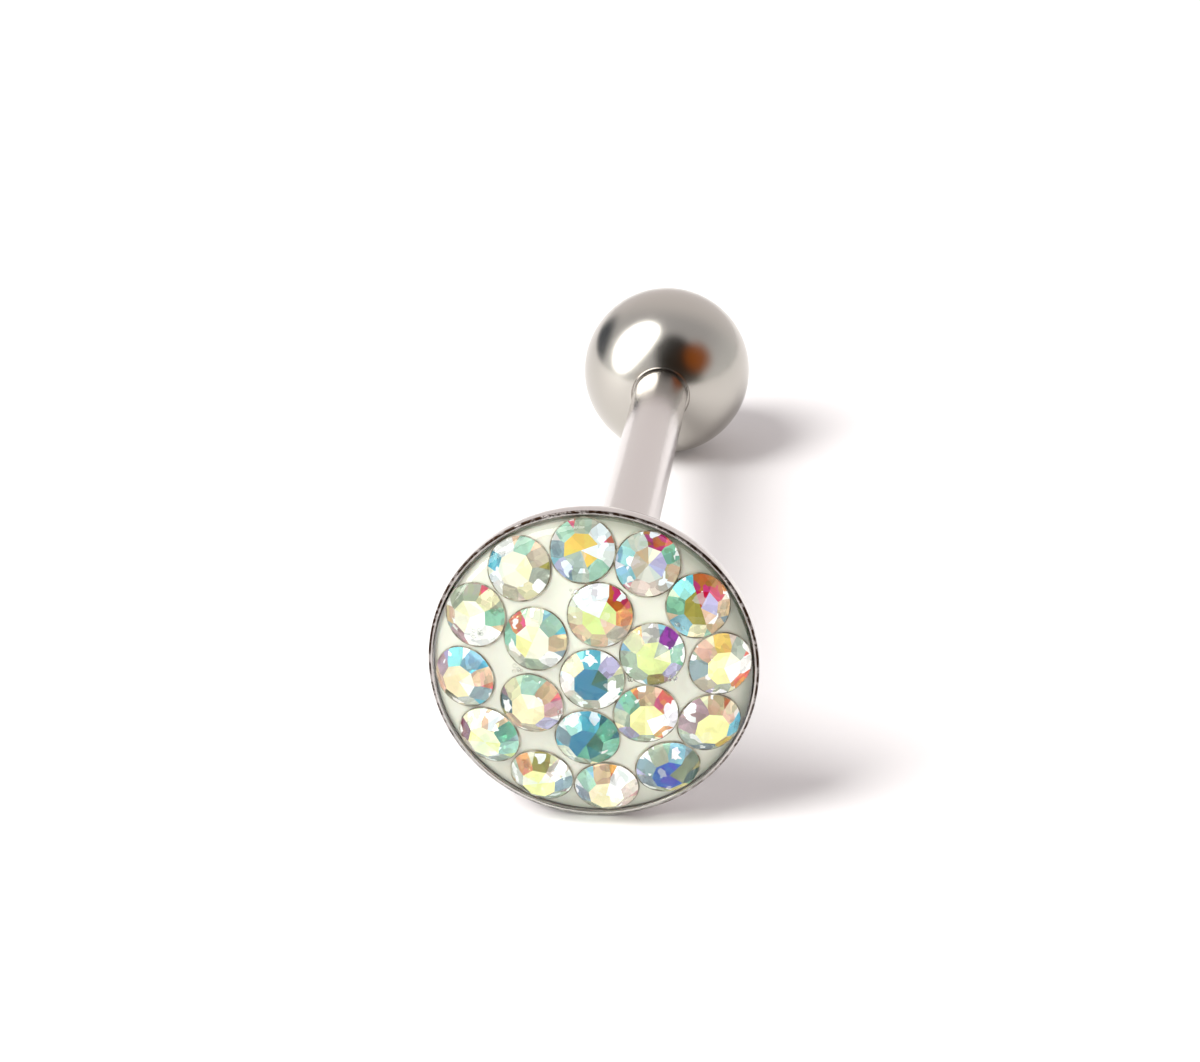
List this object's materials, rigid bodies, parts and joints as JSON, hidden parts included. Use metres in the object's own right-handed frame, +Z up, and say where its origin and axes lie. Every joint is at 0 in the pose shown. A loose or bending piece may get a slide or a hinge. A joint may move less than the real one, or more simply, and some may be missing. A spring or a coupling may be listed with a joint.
{
  "type": "tongue barbell",
  "caption": "Straight barbell: a shallow cup set with a domed cluster of crystals under clear resin, a round bar, and a plain ball that screws off the back end.",
  "frame": {"origin": "middle of the footprint, on the surface that the jewel lies on", "axes": "+Y from the jewelled front end towards the ball, +Z up, +X to the right of the jewelled end as seen from the front"},
  "size_m": [0.008, 0.026, 0.008],
  "materials": {
    "steel": "mirror polished surgical steel",
    "bed": "ivory epoxy putty, smooth",
    "resin": "clear glossy resin",
    "crystal_yellow": "faceted crystal with an iridescent coat, pale yellow",
    "crystal_lime": "faceted crystal with an iridescent coat, lime",
    "crystal_blue": "faceted crystal with an iridescent coat, blue",
    "crystal_mint": "faceted crystal with an iridescent coat, mint",
    "crystal_rose": "faceted crystal with an iridescent coat, rose"
  },
  "bodies": {
    "bar": {"cup_and_bar": "steel", "setting": "bed", "resin_dome": "resin", "stone_01": "crystal_blue", "stone_02": "crystal_lime", "stone_03": "crystal_rose", "stone_04": "crystal_yellow", "stone_05": "crystal_blue", "stone_06": "crystal_yellow", "stone_07": "crystal_yellow", "stone_08": "crystal_yellow", "stone_09": "crystal_rose", "stone_10": "crystal_mint", "stone_11": "crystal_yellow", "stone_12": "crystal_yellow", "stone_13": "crystal_blue", "stone_14": "crystal_yellow", "stone_15": "crystal_yellow", "stone_16": "crystal_mint", "stone_17": "crystal_yellow", "stone_18": "crystal_lime", "stone_19": "crystal_mint"},
    "ball": {"ball": "steel"}
  },
  "joints": [
    {"name": "ball_unscrew", "type": "slide", "parent": "bar", "child": "ball", "axis": [0, 0.9977, -0.0676], "range_m": [0, 0.025]}
  ]
}
